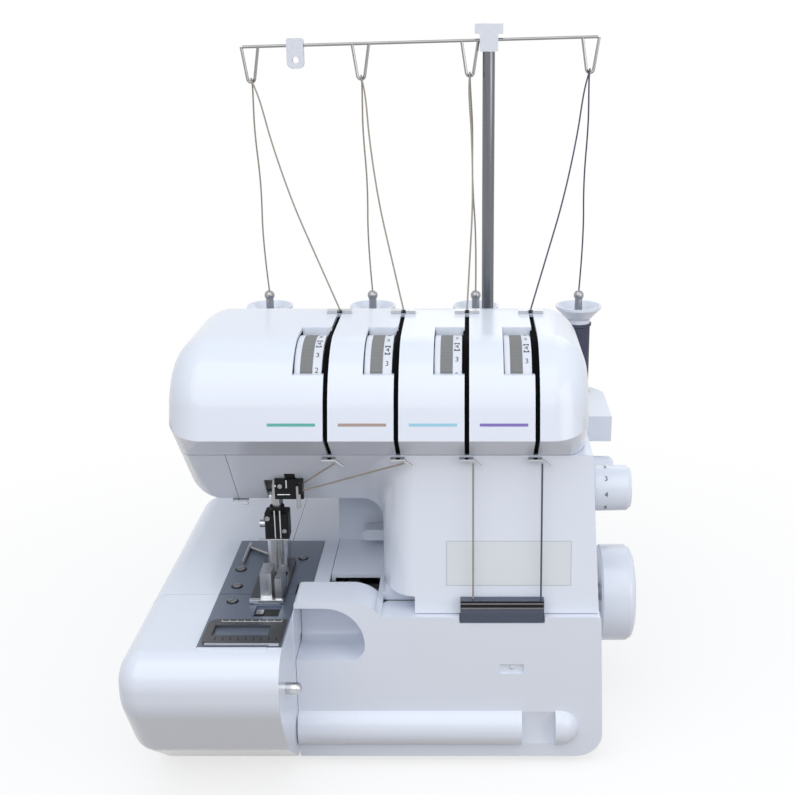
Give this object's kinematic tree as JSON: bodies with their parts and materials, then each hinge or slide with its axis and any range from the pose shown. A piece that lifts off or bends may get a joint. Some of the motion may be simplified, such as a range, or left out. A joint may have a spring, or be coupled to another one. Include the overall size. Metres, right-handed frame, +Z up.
{
  "type": "serger overlock machine",
  "caption": "Domestic overlock sewing machine with tension dials, spool stand, telescopic thread mast, swing-out nose cover and drop-down looper cover.",
  "frame": {"origin": "centre of the machine's footprint, on the table under its feet", "axes": "+Z up, -Y towards the person who sews, +X towards the handwheel"},
  "size_m": [0.33, 0.312, 0.477],
  "materials": {
    "white_gloss": "smooth white moulding with a slight cool tint",
    "dial_grey": "ribbed dark grey moulding",
    "slate_plate": "satin slate blue sheet",
    "chrome": "bright plated",
    "steel": "ground steel",
    "cast_alloy": "as cast",
    "bronze": "sintered bronze",
    "rubber": "matt black",
    "black_plastic": "matt black moulding",
    "smoked_window": "smoked clear moulding",
    "cream_thread": "spun thread",
    "navy_thread": "spun thread"
  },
  "bodies": {
    "machine": {"base_tray": "white_gloss", "rubber_feet": "rubber", "front_casing": "white_gloss", "rear_cover": "white_gloss", "head_cover": "white_gloss", "face_cover": "white_gloss", "bed_casing": "white_gloss", "needle_plate": "slate_plate", "slot_liners": "black_plastic", "thread_window": "smoked_window", "frame_casting": "cast_alloy", "shaft_bushes": "bronze", "motor": "steel", "drive_belt": "rubber", "pivot_pins": "steel", "thread_guides": "chrome", "tension_bracket": "steel", "tension_discs": "chrome", "lower_knife": "steel", "power_inlet": "black_plastic", "spool_stand": "white_gloss", "spool_caps": "white_gloss", "thread_spools": "cream_thread", "mast_tube": "chrome", "thread_left_needle": "cream_thread", "thread_right_needle": "cream_thread", "thread_upper_looper": "cream_thread", "thread_lower_looper": "navy_thread", "front_threads": "cream_thread"},
    "drive": {"main_shaft": "steel", "handwheel": "white_gloss", "shaft_pulley": "black_plastic"},
    "motor_rotor": {"motor_pulley": "black_plastic"},
    "needle_drive": {"needle_bar": "steel", "needle_clamp": "black_plastic", "needles": "steel"},
    "presser": {"presser_bar": "steel", "presser_foot": "chrome"},
    "lifter": {"presser_lifter": "steel"},
    "nose_cover": {"cloth_plate": "white_gloss", "front_plate": "slate_plate", "seam_guide": "dial_grey"},
    "nose_latch": {"latch_pin": "chrome"},
    "looper_cover": {"front_cover": "white_gloss"},
    "left_needle_dial": {"tension_dial_1": "dial_grey"},
    "right_needle_dial": {"tension_dial_2": "dial_grey"},
    "upper_looper_dial": {"tension_dial_3": "dial_grey"},
    "lower_looper_dial": {"tension_dial_4": "dial_grey"},
    "stitch_length": {"stitch_length_dial": "white_gloss"},
    "differential": {"differential_dial": "white_gloss"},
    "mast": {"mast_rod": "chrome", "mast_fittings": "white_gloss", "guide_bar": "chrome"},
    "looper_up": {"upper_looper": "steel"},
    "looper_low": {"lower_looper": "steel"},
    "knife": {"upper_knife": "steel"},
    "feed": {"feed_dog": "steel"},
    "stitch_finger": {"stitch_finger_lever": "steel"},
    "switch": {"power_switch": "black_plastic"}
  },
  "joints": [
    {"name": "handwheel_turn", "type": "hinge", "parent": "machine", "child": "drive", "pos_m": [0, -0.012, 0.089], "axis": [1, 0, 0], "continuous": true},
    {"name": "motor_turn", "type": "hinge", "parent": "machine", "child": "motor_rotor", "pos_m": [0, 0.06, 0.046], "axis": [1, 0, 0], "continuous": true},
    {"name": "needle_stroke", "type": "slide", "parent": "machine", "child": "needle_drive", "axis": [0, 0, 1], "range_m": [-0.02, 0.006]},
    {"name": "presser_lift", "type": "hinge", "parent": "machine", "child": "lifter", "pos_m": [0.02, 0.014, 0.124], "axis": [0, 1, 0], "range_deg": [0, 14]},
    {"name": "presser_rise", "type": "slide", "parent": "machine", "child": "presser", "axis": [0, 0, 1], "range_m": [0, 0.006]},
    {"name": "nose_swing", "type": "hinge", "parent": "machine", "child": "nose_cover", "pos_m": [-0.159, -0.07, 0.06], "axis": [0, 0, -1], "range_deg": [0, 80]},
    {"name": "nose_latch_pull", "type": "slide", "parent": "nose_cover", "child": "nose_latch", "axis": [-1, 0, 0], "range_m": [0, 0.006], "stiffness_N_per_m": 300},
    {"name": "looper_cover_open", "type": "hinge", "parent": "machine", "child": "looper_cover", "pos_m": [0, -0.083, 0.009], "axis": [1, 0, 0], "range_deg": [0, 45]},
    {"name": "left_needle_tension", "type": "hinge", "parent": "machine", "child": "left_needle_dial", "pos_m": [-0.04, -0.0375, 0.2455], "axis": [1, 0, 0], "range_deg": [-140, 140]},
    {"name": "right_needle_tension", "type": "hinge", "parent": "machine", "child": "right_needle_dial", "pos_m": [0.004, -0.0375, 0.2455], "axis": [1, 0, 0], "range_deg": [-140, 140]},
    {"name": "upper_looper_tension", "type": "hinge", "parent": "machine", "child": "upper_looper_dial", "pos_m": [0.048, -0.0375, 0.2455], "axis": [1, 0, 0], "range_deg": [-140, 140]},
    {"name": "lower_looper_tension", "type": "hinge", "parent": "machine", "child": "lower_looper_dial", "pos_m": [0.092, -0.0375, 0.2455], "axis": [1, 0, 0], "range_deg": [-140, 140]},
    {"name": "stitch_length_set", "type": "hinge", "parent": "machine", "child": "stitch_length", "pos_m": [0.14, -0.019, 0.172], "axis": [1, 0, 0], "range_deg": [-150, 150]},
    {"name": "differential_set", "type": "hinge", "parent": "machine", "child": "differential", "pos_m": [0.14, 0.061, 0.152], "axis": [1, 0, 0], "range_deg": [-120, 120]},
    {"name": "mast_telescope", "type": "slide", "parent": "machine", "child": "mast", "axis": [0, 0, 1], "range_m": [-0.14, 0], "deforming": ["thread_left_needle", "thread_right_needle", "thread_upper_looper", "thread_lower_looper"]},
    {"name": "upper_looper_swing", "type": "hinge", "parent": "machine", "child": "looper_up", "pos_m": [0.008, -0.046, 0.062], "axis": [0, 1, 0], "range_deg": [-14, 4]},
    {"name": "lower_looper_swing", "type": "hinge", "parent": "machine", "child": "looper_low", "pos_m": [-0.018, -0.0375, 0.052], "axis": [0, 1, 0], "range_deg": [-18, 8]},
    {"name": "upper_knife_cut", "type": "hinge", "parent": "machine", "child": "knife", "pos_m": [0.004, -0.051, 0.096], "axis": [0, 1, 0], "range_deg": [0, 7]},
    {"name": "feed_stroke", "type": "slide", "parent": "machine", "child": "feed", "axis": [0, 1, 0], "range_m": [-0.0015, 0.0015]},
    {"name": "stitch_finger_set", "type": "slide", "parent": "machine", "child": "stitch_finger", "axis": [0, 1, 0], "range_m": [-0.005, 0]},
    {"name": "power_rock", "type": "hinge", "parent": "machine", "child": "switch", "pos_m": [0.132, 0.017, 0.029], "axis": [0, 1, 0], "range_deg": [-14, 0]}
  ],
  "couplings": [
    {"joint": "motor_turn", "follows": "handwheel_turn", "ratio": 2.6667},
    {"joint": "presser_rise", "follows": "presser_lift", "m_per_rad": 0.024553}
  ]
}
